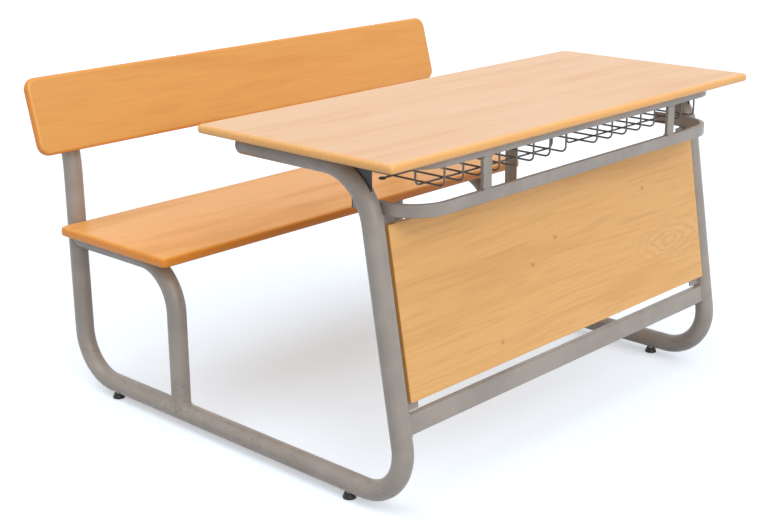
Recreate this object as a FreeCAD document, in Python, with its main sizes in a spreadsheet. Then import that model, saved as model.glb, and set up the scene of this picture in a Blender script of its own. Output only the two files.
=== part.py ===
import FreeCAD, Part
import math
import os
import re
import Sketcher

# A two-pupil school bench desk: two bent-tube side frames carry a flat desktop, a bench seat with
# a backrest, a leaning front panel and two wire book baskets. It stands on four screw-in glides.
# X runs along the desk, -Y is the front, where the panel is, and +Y the bench. Z is up from the
# floor. The origin is on the floor, in the middle of the whole desk. Sizes are millimetres and
# degrees. Sizes whose names end in _back are measured rearward from the desktop's front edge.

SIZES = {
    # The whole desk
    "front_edge": -553.75,          # Y of the desktop's front edge
    "fit_gap": 0.3,                 # air left between rounded steel faces that are welded together
    "running_gap": 0.05,            # air around a screw or stem in its hole, on the radius
    # Desktop
    "desk_length": 1200.0,
    "desk_depth": 520.0,
    "desk_thickness": 18.0,
    "desk_top_height": 711.0,
    "desk_corner": 7.0,             # plan radius of the corners
    "desk_top_round": 8.5,          # rounding of the upper edge
    "desk_under_round": 6.0,        # rounding of the lower edge
    # Bench seat
    "seat_length": 1200.0,
    "seat_depth": 374.0,
    "seat_thickness": 22.0,
    "seat_top_height": 408.0,
    "seat_front_back": 648.0,
    "seat_corner": 14.0,
    "seat_top_round": 9.0,
    "seat_under_round": 6.0,
    # Backrest, square to the leaning tops of the rear posts
    "rest_length": 1290.0,
    "rest_height": 172.0,
    "rest_thickness": 19.0,
    "rest_corner": 27.0,
    "rest_face_round": 8.0,
    "rest_rear_round": 5.0,
    "rest_up": 10.5,                # lower edge, up the post from its bend
    # Front panel, parallel to the legs
    "panel_side_gap": 0.8,          # each end of the panel to its leg
    "panel_height": 340.0,
    "panel_thickness": 15.0,
    "panel_corner": 3.0,
    "panel_edge_round": 1.2,
    "panel_up": 199.0,              # lower edge, up the leg from its foot
    "panel_recess": 4.2,            # front face behind the foremost line of the legs
    # Side frames, each one bent round tube
    "frame_half_width": 536.0,      # middle of the desk to the middle of a side frame
    "tube_diameter": 42.4,
    "tube_wall": 2.0,
    "ground_gap": 14.3,             # floor to the underside of the tube
    "top_run_back": 454.0,          # free end of the tube under the desktop
    "leg_lean": 9.5,
    "foot_back": 17.3,              # where the straight leg would meet the floor run
    "post_back": 1043.7,
    "post_bend_height": 554.5,      # where the upright post would turn into its leaning top
    "post_lean": 15.0,
    "post_top": 166.0,              # length of the leaning top from that point
    "top_bend": 120.0,              # bend radii on the tube's centreline
    "front_bend": 100.0,
    "rear_bend": 106.0,
    "lean_bend": 300.0,
    # Seat supports
    "seat_leg_back": 695.3,
    "seat_bend": 103.0,
    # Front rails, two bows of flat tube that lie against the insides of the legs
    "lower_rail_height": 25.0,
    "upper_rail_height": 17.5,
    "rail_depth": 12.0,
    "rail_wall": 1.5,
    "rail_edge_round": 2.5,
    "rail_front_back": 17.8,        # outer front face
    "rail_bow": 79.0,               # corner radius on the centreline
    "lower_rail_top": 611.0,
    "lower_arm_back": 179.0,
    "upper_arm_back": 160.0,
    "link_offset": 315.0,           # middle of the desk to each short upright between the rails
    "link_width": 25.0,
    "link_depth": 8.0,
    # Foot rail between the legs
    "foot_rail_height": 40.0,
    "foot_rail_depth": 20.0,
    "foot_rail_round": 4.0,
    "foot_rail_wall": 1.5,
    "foot_rail_up": 155.5,          # its middle, up the leg from its foot
    # Centre stay, from the desktop down and forward to the back of the panel
    "stay_width": 25.0,
    "stay_depth": 15.0,
    "stay_round": 2.5,
    "stay_wall": 1.5,
    "stay_back": 212.0,
    "stay_bend": 45.0,
    "stay_up": 425.0,               # its forward run, up the leg from the leg's foot
    "stay_plate_length": 80.0,
    "stay_plate_width": 40.0,
    # Flat steel tabs and plates
    "tab_thickness": 3.0,
    "tab_reach": 45.0,              # tab across the desk
    "tab_width": 30.0,              # tab along the tube
    "tab_corner": 4.0,
    "tab_hole_edge": 14.0,          # screw hole to the free edge of its tab
    "desk_tab_front_back": 290.0,
    "desk_tab_rear_back": 440.0,
    "seat_tab_front_back": 845.0,
    "seat_tab_rear_back": 965.0,
    "panel_tab_reach": 34.0,
    "panel_tab_height": 60.0,
    "panel_tab_show": 18.5,         # part of the tab that stands past the panel's edge
    # Gussets between the tubes' top bends and the desktop
    "gusset_thickness": 4.0,
    "gusset_front_back": 110.0,
    "gusset_rear_back": 188.0,
    # Backrest brackets
    "rest_standoff": 15.0,          # post to the back of the backrest
    "bracket_width": 60.0,
    "bracket_web": 16.0,
    "bracket_height": 110.0,
    "bracket_up": 46.0,
    "bracket_hole_side": 21.0,      # screw holes from the bracket's middle
    "bracket_hole_end": 20.0,       # screw holes from the bracket's ends
    # Screws
    "screw_diameter": 4.5,
    "screw_head": 9.0,
    "screw_head_height": 2.6,
    "screw_bite": 12.0,             # length held in the wood
    "screw_hole_gap": 0.25,         # air around a screw in a tab's hole, on the radius
    # End plugs
    "plug_flange": 4.0,
    "plug_round": 3.0,
    "plug_tail": 14.0,
    "rail_plug_flange": 2.5,
    "rail_plug_tail": 10.0,
    # Glides
    "front_glide_back": 178.6,
    "rear_glide_back": 927.0,
    "glide_diameter": 28.0,
    "glide_edge": 2.0,
    "glide_sole": 3.0,              # height of the wider sole under the tapered body
    "glide_neck": 20.0,             # diameter at the top of the tapered body
    "stem_diameter": 8.0,
    "stem_length": 30.0,            # above the glide's body
    "insert_diameter": 11.0,
    "insert_flange": 16.0,
    "insert_flange_height": 1.5,
    "insert_length": 14.0,
    # Book baskets
    "wire_diameter": 4.0,
    "wire_bend": 12.0,
    "basket_drop": 58.0,            # desktop's underside to the centreline of the floor wires
    "basket_depth": 310.0,
    "basket_first_offset": 54.0,    # middle of the desk to the first cross wire
    "basket_inner_offset": 25.0,    # middle of the desk to the inner ends of the long wires
    "basket_side_gap": 94.0,        # outer ends of the long wires to the middle of the tube
    "basket_last_inset": 17.0,      # outer ends of the long wires to the last cross wire
    "basket_inner_end": 50.0,       # height of the turned-up inner ends
    "basket_outer_end": 44.0,
    "long_wire_first": 56.0,        # first long wire behind the front of the basket
    "long_wire_last_inset": 5.0,    # last long wire ahead of the rear of the basket
    "eye_radius": 5.5,              # centreline of the eyes at the ends of wires
    "hanger_foot": 14.0,            # run of a hanger under the desktop, before its eye
}

CROSS_WIRES = 8
LONG_WIRES = 4
EYED_LONG_WIRE = 1
SIDES = {"left": -1, "right": 1}
SAME_HEIGHT = 0.01                  # how near an edge lies to a height that it counts as at
X_AXIS = FreeCAD.Vector(1, 0, 0)
Z_AXIS = FreeCAD.Vector(0, 0, 1)

# Places that several pieces share, as formulas of the sizes above
TUBE_RADIUS = "tube_diameter / 2"
DESK_BOTTOM = "(desk_top_height - desk_thickness)"
SEAT_BOTTOM = "(seat_top_height - seat_thickness)"
TOP_AXIS = f"({DESK_BOTTOM} - fit_gap - {TUBE_RADIUS})"
SEAT_AXIS = f"({SEAT_BOTTOM} - fit_gap - {TUBE_RADIUS})"
FLOOR_AXIS = f"(ground_gap + {TUBE_RADIUS})"
FRAME_INNER = f"(frame_half_width - {TUBE_RADIUS})"
RAIL_ARM = f"({FRAME_INNER} - fit_gap - rail_depth / 2)"
RAIL_FRONT = "(front_edge + rail_front_back + rail_depth / 2)"
UPPER_RAIL_BOTTOM = f"({DESK_BOTTOM} - upper_rail_height)"
TOP_CORNER = f"(front_edge + foot_back + tan(leg_lean) * ({TOP_AXIS} - {FLOOR_AXIS}))"
PANEL_LENGTH = f"(2 * ({FRAME_INNER} - panel_side_gap))"
PANEL_REAR = f"(panel_recess + panel_thickness - {TUBE_RADIUS})"
TAB_EDGE = (f"(sqrt(({TUBE_RADIUS})^2 - ({TUBE_RADIUS} + fit_gap - tab_thickness)^2)"
            " + fit_gap)")
TAB_HOLE = f"(frame_half_width - {TAB_EDGE} - tab_reach + tab_hole_edge)"
PANEL_TAB_HOLE = f"({FRAME_INNER} - fit_gap - panel_tab_reach + tab_hole_edge)"
PANEL_TAB_HOLE_UP = "((panel_tab_height - panel_tab_show) / 2)"
SCREW_HOLE = "(screw_diameter / 2 + screw_hole_gap)"
PILOT_HOLE = "(screw_diameter / 2 + running_gap)"
STAY_HOLE = "(stay_plate_length / 2 - tab_hole_edge)"
BASKET_FRONT = "(rail_front_back + rail_depth + fit_gap + wire_diameter / 2)"
BASKET_REAR = f"({BASKET_FRONT} + basket_depth)"
BASKET_OUTER = "(frame_half_width - basket_side_gap)"
LAST_CROSS_WIRE = f"({BASKET_OUTER} - basket_last_inset)"
BASKET_PITCH = f"(({LAST_CROSS_WIRE} - basket_first_offset) / {CROSS_WIRES - 1})"
BASKET_FLOOR = f"({DESK_BOTTOM} - basket_drop)"
LONG_WIRE_SPAN = "(basket_depth - long_wire_first - long_wire_last_inset)"
LONG_WIRE_PITCH = f"({LONG_WIRE_SPAN} / {LONG_WIRES - 1})"
LONG_WIRE_HEIGHT = f"({BASKET_FLOOR} - wire_diameter - running_gap)"

doc = FreeCAD.newDocument("bench_desk")
sheet = doc.addObject("Spreadsheet::Sheet", "Sizes")
pieces = []


def fill_sheet():
    """Write every size into the sheet, with its name as the alias of its cell."""
    for row, (name, size) in enumerate(SIZES.items(), start=1):
        sheet.set(f"A{row}", name)
        sheet.set(f"B{row}", str(size))
        sheet.setAlias(f"B{row}", name)
    doc.recompute()


def formula(text):
    """The same formula with every size spelled out as a cell of the sheet."""
    return re.sub(r"\b([a-z]+_[a-z_]+)\b", r"Sizes.\1", text)


def value(text):
    """The number that a formula of sizes gives now."""
    result = sheet.evalExpression(formula(text))
    return float(getattr(result, "Value", result))


def vector(x, y, z):
    """A point from three formulas."""
    return FreeCAD.Vector(value(x), value(y), value(z))


# ---- Frames of the leaning pieces ----

def leg_point(rearward, up):
    """Y and Z of a point square to the legs and up along them, from the leg's foot."""
    y = f"front_edge + foot_back + ({rearward}) * cos(leg_lean) + ({up}) * sin(leg_lean)"
    z = f"{FLOOR_AXIS} - ({rearward}) * sin(leg_lean) + ({up}) * cos(leg_lean)"
    return y, z


def post_point(rearward, up):
    """Y and Z of a point square to the leaning post tops and up along them, from their bend."""
    y = f"front_edge + post_back + ({rearward}) * cos(post_lean) + ({up}) * sin(post_lean)"
    z = f"post_bend_height - ({rearward}) * sin(post_lean) + ({up}) * cos(post_lean)"
    return y, z


# ---- Sketches ----

def add_sketch(body, name, plane, offset="0"):
    """An empty sketch on one of the body's origin planes, moved along the plane's normal."""
    sketch = body.newObject("Sketcher::SketchObject", name)
    origin_plane = next(part for part in body.Origin.OriginFeatures if part.Role == plane)
    sketch.AttachmentSupport = [(origin_plane, "")]
    sketch.MapMode = "FlatFace"
    sketch.setExpression("AttachmentOffset.Base.z", formula(offset))
    return sketch


def bind_constraint(sketch, constraint, text):
    """Add a constraint and tie its size to a formula."""
    number = sketch.addConstraint(constraint)
    sketch.setExpression(f"Constraints[{number}]", formula(text))


def fix_point(sketch, geometry, position, corner):
    """Tie one point of a sketch to a pair of formulas."""
    for kind, text in zip(("DistanceX", "DistanceY"), corner):
        constraint = Sketcher.Constraint(kind, -1, 1, geometry, position, value(text))
        bind_constraint(sketch, constraint, text)


def bend(before, corner, after, radius):
    """Start, centre and end of the arc of this radius that rounds a corner."""
    back = (before - corner).normalize()
    onward = (after - corner).normalize()
    half_angle = back.getAngle(onward) / 2
    reach = radius / math.tan(half_angle)
    centre = corner + (back + onward).normalize() * (radius / math.sin(half_angle))
    return corner + back * reach, centre, corner + onward * reach


def add_arc(sketch, start, centre, end, radius):
    """Draw an arc. Returns it with the numbers of its start and end, in drawing order."""
    turns_left = (start - centre).cross(end - centre).z > 0
    first, last = (start, end) if turns_left else (end, start)
    begin = math.atan2(first.y - centre.y, first.x - centre.x)
    finish = math.atan2(last.y - centre.y, last.x - centre.x)
    if finish < begin:
        finish += 2 * math.pi
    arc = Part.ArcOfCircle(Part.Circle(centre, Z_AXIS, radius), begin, finish)
    return sketch.addGeometry(arc, False), (1, 2) if turns_left else (2, 1)


def draw_chain(sketch, corners, radii, closed):
    """Straight lines through corners given as formulas, rounded where radii holds a formula."""
    points = [vector(u, v, "0") for u, v in corners]
    count = len(points)
    side_count = count if closed else count - 1
    bends = {}
    for here in range(count):
        if radii[here]:
            onward = points[(here + 1) % count]
            bends[here] = bend(points[here - 1], points[here], onward, value(radii[here]))
    lines = []
    for here in range(side_count):
        there = (here + 1) % count
        start = bends[here][2] if here in bends else points[here]
        end = bends[there][0] if there in bends else points[there]
        lines.append(sketch.addGeometry(Part.LineSegment(start, end), False))
    for here in range(count):
        before = lines[here - 1] if closed or here else None
        after = lines[here] if here < side_count else None
        if here in bends:
            round_corner(sketch, before, after, bends[here], corners[here], radii[here])
        elif before is not None and after is not None:
            sketch.addConstraint(Sketcher.Constraint("Coincident", before, 2, after, 1))
            fix_point(sketch, after, 1, corners[here])
        elif after is not None:
            fix_point(sketch, after, 1, corners[here])
        else:
            fix_point(sketch, before, 2, corners[here])


def round_corner(sketch, before, after, arc_points, corner, radius):
    """Join two lines by a tangent arc, with the sharp corner kept as a construction point."""
    start, centre, end = arc_points
    arc, (arc_start, arc_end) = add_arc(sketch, start, centre, end, value(radius))
    sketch.addConstraint(Sketcher.Constraint("Tangent", before, 2, arc, arc_start))
    sketch.addConstraint(Sketcher.Constraint("Tangent", arc, arc_end, after, 1))
    bind_constraint(sketch, Sketcher.Constraint("Radius", arc, value(radius)), radius)
    tip = sketch.addGeometry(Part.Point(vector(*corner, "0")), True)
    sketch.addConstraint(Sketcher.Constraint("PointOnObject", tip, 1, before))
    sketch.addConstraint(Sketcher.Constraint("PointOnObject", tip, 1, after))
    fix_point(sketch, tip, 1, corner)


def draw_circle(sketch, centre, radius):
    """A circle with its centre and radius tied to formulas."""
    circle = Part.Circle(vector(*centre, "0"), Z_AXIS, value(radius))
    number = sketch.addGeometry(circle, False)
    bind_constraint(sketch, Sketcher.Constraint("Radius", number, value(radius)), radius)
    fix_point(sketch, number, 3, centre)


def draw_box(sketch, centre, width, height, radius=None):
    """A rectangle about a centre, with rounded corners where a radius is given."""
    u, v = centre
    left, right = f"{u} - ({width}) / 2", f"{u} + ({width}) / 2"
    low, high = f"{v} - ({height}) / 2", f"{v} + ({height}) / 2"
    corners = [(left, low), (right, low), (right, high), (left, high)]
    draw_chain(sketch, corners, [radius] * 4, closed=True)


def draw_flat_tube(sketch, centre, width, height, radius, wall):
    """The hollow section of a flat tube."""
    draw_box(sketch, centre, width, height, radius)
    inner_width, inner_height = f"({width} - 2 * {wall})", f"({height} - 2 * {wall})"
    draw_box(sketch, centre, inner_width, inner_height, f"({radius} - {wall})")


# ---- Features ----

def new_body(label):
    """An empty body whose label is the name of its piece."""
    body = doc.addObject("PartDesign::Body", label)
    body.Label = label
    pieces.append(body)
    return body


def place(piece, x="0", y="0", z="0", angle=None, axis=X_AXIS):
    """Tie a piece's place to formulas, and its turn about an axis where it has one."""
    if angle:
        piece.Placement = FreeCAD.Placement(FreeCAD.Vector(), FreeCAD.Rotation(axis, value(angle)))
        piece.setExpression("Placement.Rotation.Angle", formula(angle))
    for letter, text in zip("xyz", (x, y, z)):
        piece.setExpression(f"Placement.Base.{letter}", formula(text))


def pad(body, sketch, length, midplane=False):
    """Raise a sketch into a solid."""
    feature = body.newObject("PartDesign::Pad", "Pad")
    feature.Profile = sketch
    feature.Midplane = midplane
    feature.setExpression("Length", formula(length))
    doc.recompute()
    return feature


def pocket(body, sketch, depth=None, reverse=False):
    """Cut a sketch out of a body: to a depth, or with none given, right through both ways."""
    before = body.Shape.Volume
    feature = body.newObject("PartDesign::Pocket", "Pocket")
    feature.Profile = sketch
    if depth:
        feature.Reversed = reverse
        feature.setExpression("Length", formula(depth))
    else:
        feature.Type = "ThroughAll"
        feature.Midplane = True
    doc.recompute()
    if not feature.Shape.Volume < before:
        raise RuntimeError(f"{body.Label}: a pocket cuts nothing")


def pipe(body, path, section):
    """Sweep a section along a path of straight runs and tangent bends."""
    feature = body.newObject("PartDesign::AdditivePipe", "Tube")
    feature.Profile = section
    feature.Spine = (path, [])
    doc.recompute()


def round_outline(body, height, radius):
    """Round the outline edges that lie at one height of a padded body."""
    base = body.Tip
    level = value(height)
    names = []
    for number, edge in enumerate(base.Shape.Edges, start=1):
        box = edge.BoundBox
        if abs(box.ZMin - level) < SAME_HEIGHT and abs(box.ZMax - level) < SAME_HEIGHT:
            names.append(f"Edge{number}")
    feature = body.newObject("PartDesign::Fillet", "EdgeRound")
    feature.Base = (base, names)
    feature.setExpression("Radius", formula(radius))
    doc.recompute()


def plate(label, length, depth, thickness, corner):
    """A flat plate: its length centred on X, its depth from Y = 0, its underside at Z = 0."""
    body = new_body(label)
    outline = add_sketch(body, "Outline", "XY_Plane")
    draw_box(outline, ("0", f"({depth}) / 2"), length, depth, corner)
    pad(body, outline, thickness)
    return body


def drill(body, plane, centres, radius, depth=None, reverse=False):
    """Drill round holes of one radius."""
    holes = add_sketch(body, "Holes", plane)
    for centre in centres:
        draw_circle(holes, centre, radius)
    pocket(body, holes, depth, reverse)


# ---- Boards ----

def desk_screw_places():
    """Plan of the screws in the desktop's underside, from its middle and its front edge."""
    places = []
    for hand in SIDES.values():
        for back in ("desk_tab_front_back", "desk_tab_rear_back"):
            places.append((f"{hand} * {TAB_HOLE}", back))
        places.append((f"{hand} * {STAY_HOLE}", "stay_back"))
    return places


def hanger_screw_places():
    """Plan of the screws that hold the baskets' rear hangers under the desktop."""
    back = f"({BASKET_REAR} + hanger_foot + eye_radius)"
    return [(f"{hand} * {offset}", back)
            for hand in SIDES.values() for offset in ("basket_first_offset", LAST_CROSS_WIRE)]


def seat_screw_places():
    """Plan of the screws in the seat's underside, from its middle and its front edge."""
    return [(f"{hand} * {TAB_HOLE}", f"{back} - seat_front_back")
            for hand in SIDES.values() for back in ("seat_tab_front_back", "seat_tab_rear_back")]


def rest_screw_places():
    """Places of the screws in the backrest's rear face, from its middle and its lower edge."""
    low = "bracket_up - rest_up + bracket_hole_end"
    high = "bracket_up - rest_up + bracket_height - bracket_hole_end"
    return [(f"{hand} * frame_half_width + {wing} * bracket_hole_side", up)
            for hand in SIDES.values() for wing in (-1, 1) for up in (low, high)]


def panel_screw_places():
    """Places of the screws in the panel's rear face, from its middle and its lower edge."""
    places = [(f"{hand} * {PANEL_TAB_HOLE}", up)
              for hand in SIDES.values()
              for up in (PANEL_TAB_HOLE_UP, f"panel_height - {PANEL_TAB_HOLE_UP}")]
    places += [(f"{hand} * {STAY_HOLE}", "stay_up - panel_up") for hand in SIDES.values()]
    return places


BOARD_OUTLINES = {
    "desk": ("desk_length", "desk_depth"),
    "seat": ("seat_length", "seat_depth"),
    "rest": ("rest_length", "rest_height"),
    "panel": (PANEL_LENGTH, "panel_height"),
}


def board(label, size, face_round, rear_round, screw_places):
    """A wooden board with soft edges and pilot holes in the face at Z = 0."""
    length, across = BOARD_OUTLINES[size]
    body = plate(label, length, across, f"{size}_thickness", f"{size}_corner")
    round_outline(body, f"{size}_thickness", face_round)
    round_outline(body, "0", rear_round)
    drill(body, "XY_Plane", screw_places, PILOT_HOLE, "screw_bite + running_gap", reverse=True)
    return body


def desktop():
    """The writing surface, level and fixed."""
    places = desk_screw_places() + hanger_screw_places()
    body = board("desktop_board", "desk", "desk_top_round", "desk_under_round", places)
    place(body, y="front_edge", z=DESK_BOTTOM)


def seat():
    """The bench seat."""
    body = board("seat_board", "seat", "seat_top_round", "seat_under_round", seat_screw_places())
    place(body, y="front_edge + seat_front_back", z=SEAT_BOTTOM)


def backrest():
    """The backrest, stood up on its lower edge and leaned back with the posts."""
    body = board("backrest_board", "rest", "rest_face_round", "rest_rear_round",
                 rest_screw_places())
    y, z = post_point(f"-({TUBE_RADIUS} + fit_gap + rest_standoff)", "rest_up")
    place(body, y=y, z=z, angle="90 - post_lean")


def front_panel():
    """The front panel between the legs, parallel to them."""
    body = board("front_panel", "panel", "panel_edge_round", "panel_edge_round",
                 panel_screw_places())
    y, z = leg_point(PANEL_REAR, "panel_up")
    place(body, y=y, z=z, angle="90 - leg_lean")


# ---- Tube frame ----

def side_frame(side, hand):
    """One bent tube: top run, leaning leg, floor run and rear post with a leaning top."""
    body = new_body(f"{side}_side_frame")
    path = add_sketch(body, "Path", "YZ_Plane")
    corners = [("front_edge + top_run_back", TOP_AXIS), (TOP_CORNER, TOP_AXIS),
               ("front_edge + foot_back", FLOOR_AXIS), ("front_edge + post_back", FLOOR_AXIS),
               ("front_edge + post_back", "post_bend_height"), post_point("0", "post_top")]
    radii = [None, "top_bend", "front_bend", "rear_bend", "lean_bend", None]
    draw_chain(path, corners, radii, closed=False)
    section = add_sketch(body, "Section", "XZ_Plane", "-(front_edge + top_run_back)")
    for radius in (TUBE_RADIUS, f"{TUBE_RADIUS} - tube_wall"):
        draw_circle(section, ("0", TOP_AXIS), radius)
    pipe(body, path, section)
    glides = [("0", f"front_edge + {back}") for back in ("front_glide_back", "rear_glide_back")]
    drill(body, "XY_Plane", glides, "insert_diameter / 2 + running_gap", FLOOR_AXIS, reverse=True)
    place(body, x=f"{hand} * frame_half_width")


def seat_support(side, hand):
    """A tube that rises from the floor run and bends back under the seat to the rear post."""
    body = new_body(f"{side}_seat_support")
    path = add_sketch(body, "Path", "YZ_Plane")
    corners = [("front_edge + post_back", SEAT_AXIS), ("front_edge + seat_leg_back", SEAT_AXIS),
               ("front_edge + seat_leg_back", FLOOR_AXIS)]
    draw_chain(path, corners, [None, "seat_bend", None], closed=False)
    section = add_sketch(body, "Section", "XZ_Plane", "-(front_edge + post_back)")
    for radius in (TUBE_RADIUS, f"{TUBE_RADIUS} - tube_wall"):
        draw_circle(section, ("0", SEAT_AXIS), radius)
    pipe(body, path, section)
    cope_radius = f"{TUBE_RADIUS} + fit_gap"
    drill(body, "XY_Plane", [("0", "front_edge + post_back")], cope_radius)
    drill(body, "XZ_Plane", [("0", FLOOR_AXIS)], cope_radius)
    place(body, x=f"{hand} * frame_half_width")


def front_rail(label, height, top, arm_back):
    """A bow of flat tube: across the front, round two corners and back along the legs."""
    body = new_body(label)
    path = add_sketch(body, "Path", "XY_Plane")
    corners = [(f"-{RAIL_ARM}", f"front_edge + {arm_back}"), (f"-{RAIL_ARM}", RAIL_FRONT),
               (RAIL_ARM, RAIL_FRONT), (RAIL_ARM, f"front_edge + {arm_back}")]
    draw_chain(path, corners, [None, "rail_bow", "rail_bow", None], closed=False)
    section = add_sketch(body, "Section", "XZ_Plane", f"-(front_edge + {arm_back})")
    draw_flat_tube(section, (f"-{RAIL_ARM}", "0"), "rail_depth", height, "rail_edge_round",
                   "rail_wall")
    pipe(body, path, section)
    place(body, z=f"{top} - {height} / 2")


def rail_link(side, hand):
    """A short flat upright welded between the two front rails."""
    body = plate(f"{side}_rail_link", "link_width", "link_depth",
                 f"{UPPER_RAIL_BOTTOM} - lower_rail_top", "1")
    place(body, x=f"{hand} * link_offset", y=f"{RAIL_FRONT} - link_depth / 2", z="lower_rail_top")


def foot_rail():
    """A flat tube between the legs, square to them, with its ends shaped to their round."""
    body = new_body("foot_rail")
    section = add_sketch(body, "Section", "YZ_Plane")
    draw_flat_tube(section, ("0", "foot_rail_up"), "foot_rail_depth", "foot_rail_height",
                   "foot_rail_round", "foot_rail_wall")
    pad(body, section, "2 * frame_half_width", midplane=True)
    legs = [(f"{hand} * frame_half_width", "0") for hand in SIDES.values()]
    drill(body, "XY_Plane", legs, f"{TUBE_RADIUS} + fit_gap")
    y, z = leg_point("0", "0")
    place(body, y=y, z=z, angle="leg_lean", axis=-X_AXIS)


def centre_stay():
    """A flat tube from the desktop down between the baskets, then forward to the panel."""
    body = new_body("centre_stay")
    bend_rearward = "((stay_back - foot_back - stay_up * sin(leg_lean)) / cos(leg_lean))"
    top = f"{DESK_BOTTOM} - tab_thickness"
    path = add_sketch(body, "Path", "YZ_Plane")
    corners = [("front_edge + stay_back", top), leg_point(bend_rearward, "stay_up"),
               leg_point(f"{PANEL_REAR} + tab_thickness", "stay_up")]
    draw_chain(path, corners, [None, "stay_bend", None], closed=False)
    section = add_sketch(body, "Section", "XY_Plane", top)
    draw_flat_tube(section, ("0", "front_edge + stay_back"), "stay_width", "stay_depth",
                   "stay_round", "stay_wall")
    pipe(body, path, section)


# ---- Tabs, plates and brackets ----

def stay_plates():
    """The two flat plates welded to the ends of the centre stay."""
    holes = [(f"{hand} * {STAY_HOLE}", "stay_plate_width / 2") for hand in SIDES.values()]
    upper = plate("stay_top_plate", "stay_plate_length", "stay_plate_width", "tab_thickness",
                  "tab_corner")
    drill(upper, "XY_Plane", holes, SCREW_HOLE)
    place(upper, y="front_edge + stay_back - stay_plate_width / 2",
          z=f"{DESK_BOTTOM} - tab_thickness")
    lower = plate("stay_panel_plate", "stay_plate_length", "stay_plate_width", "tab_thickness",
                  "tab_corner")
    drill(lower, "XY_Plane", holes, SCREW_HOLE)
    y, z = leg_point(f"{PANEL_REAR} + tab_thickness", "stay_up - stay_plate_width / 2")
    place(lower, y=y, z=z, angle="90 - leg_lean")


def board_tab(label, hand, back, underside):
    """A tab welded to the inside of a tube, flat against the underside of a board."""
    body = plate(label, "tab_reach", "tab_width", "tab_thickness", "tab_corner")
    hole = (f"{-hand} * (tab_reach / 2 - tab_hole_edge)", "tab_width / 2")
    drill(body, "XY_Plane", [hole], SCREW_HOLE)
    place(body, x=f"{hand} * (frame_half_width - {TAB_EDGE} - tab_reach / 2)",
          y=f"front_edge + {back} - tab_width / 2", z=f"{underside} - tab_thickness")


def panel_tab(label, hand, low):
    """A tab welded to the inside of a leg, behind a corner of the panel."""
    body = plate(label, "panel_tab_reach", "panel_tab_height", "tab_thickness", "tab_corner")
    covered = f"(panel_tab_height - {PANEL_TAB_HOLE_UP})"
    hole_up = covered if low else f"(panel_tab_height - {covered})"
    hole = (f"{-hand} * (panel_tab_reach / 2 - tab_hole_edge)", hole_up)
    drill(body, "XY_Plane", [hole], SCREW_HOLE)
    up = "panel_up - panel_tab_show" if low else ("panel_up + panel_height + panel_tab_show"
                                                  " - panel_tab_height")
    y, z = leg_point(f"{PANEL_REAR} + tab_thickness", up)
    place(body, x=f"{hand} * ({FRAME_INNER} - fit_gap - panel_tab_reach / 2)", y=y, z=z,
          angle="90 - leg_lean")


def rest_bracket(side, hand):
    """A T-shaped bracket that stands the backrest off the leaning top of its post."""
    body = new_body(f"{side}_backrest_bracket")
    face = f"-({TUBE_RADIUS} + fit_gap + rest_standoff)"
    flange = f"({face} + tab_thickness)"
    root = f"-({TUBE_RADIUS} + fit_gap)"
    section = add_sketch(body, "Section", "XY_Plane", "bracket_up")
    corners = [("-bracket_width / 2", face), ("bracket_width / 2", face),
               ("bracket_width / 2", flange), ("bracket_web / 2", flange),
               ("bracket_web / 2", root), ("-bracket_web / 2", root),
               ("-bracket_web / 2", flange), ("-bracket_width / 2", flange)]
    draw_chain(section, corners, [None] * len(corners), closed=True)
    pad(body, section, "bracket_height")
    heights = ("bracket_up + bracket_hole_end", "bracket_up + bracket_height - bracket_hole_end")
    holes = [(f"{wing} * bracket_hole_side", up) for wing in (-1, 1) for up in heights]
    drill(body, "XZ_Plane", holes, SCREW_HOLE)
    y, z = post_point("0", "0")
    place(body, x=f"{hand} * frame_half_width", y=y, z=z, angle="post_lean", axis=-X_AXIS)


def bend_gussets():
    """Flat gussets that fill the corners between the top bends of the tubes and the desktop."""
    front, rear = value("front_edge + gusset_front_back"), value("front_edge + gusset_rear_back")
    thickness = value("gusset_thickness")
    bend_axis = value(f"{TOP_CORNER} + top_bend * tan((90 - leg_lean) / 2)")
    bend_height = value(f"{TOP_AXIS} - top_bend")
    top = value(f"{DESK_BOTTOM} - fit_gap")
    solids = []
    for hand in SIDES.values():
        x = value(f"{hand} * frame_half_width - gusset_thickness / 2")
        corner = FreeCAD.Vector(x, front, bend_height)
        block = Part.makeBox(thickness, rear - front, top - bend_height, corner)
        axis_point = FreeCAD.Vector(x, bend_axis, bend_height)
        bend_radius = value(f"top_bend + {TUBE_RADIUS} + fit_gap")
        solids.append(block.cut(Part.makeCylinder(bend_radius, thickness, axis_point, X_AXIS)))
    group("bend_gussets", solids)


# ---- Plugs ----

def tube_plug(label, x, y, z, angle, axis):
    """A domed plug for the end of a round tube, standing on the tube's end along +Z."""
    body = new_body(label)
    bore = f"({TUBE_RADIUS} - tube_wall - fit_gap)"
    half = add_sketch(body, "Half", "XZ_Plane")
    corners = [("0", "-plug_tail"), (bore, "-plug_tail"), (bore, "0"), (TUBE_RADIUS, "0"),
               (TUBE_RADIUS, "plug_flange"), ("0", "plug_flange")]
    draw_chain(half, corners, [None, "1", None, None, "plug_round", None], closed=True)
    revolve(body, half)
    place(body, x=x, y=y, z=z, angle=angle, axis=axis)


def revolve(body, sketch):
    """Turn a half section on the XZ plane about the body's Z axis."""
    feature = body.newObject("PartDesign::Revolution", "Turned")
    feature.Profile = sketch
    feature.ReferenceAxis = (sketch, ["V_Axis"])
    feature.Angle = 360
    doc.recompute()


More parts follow.
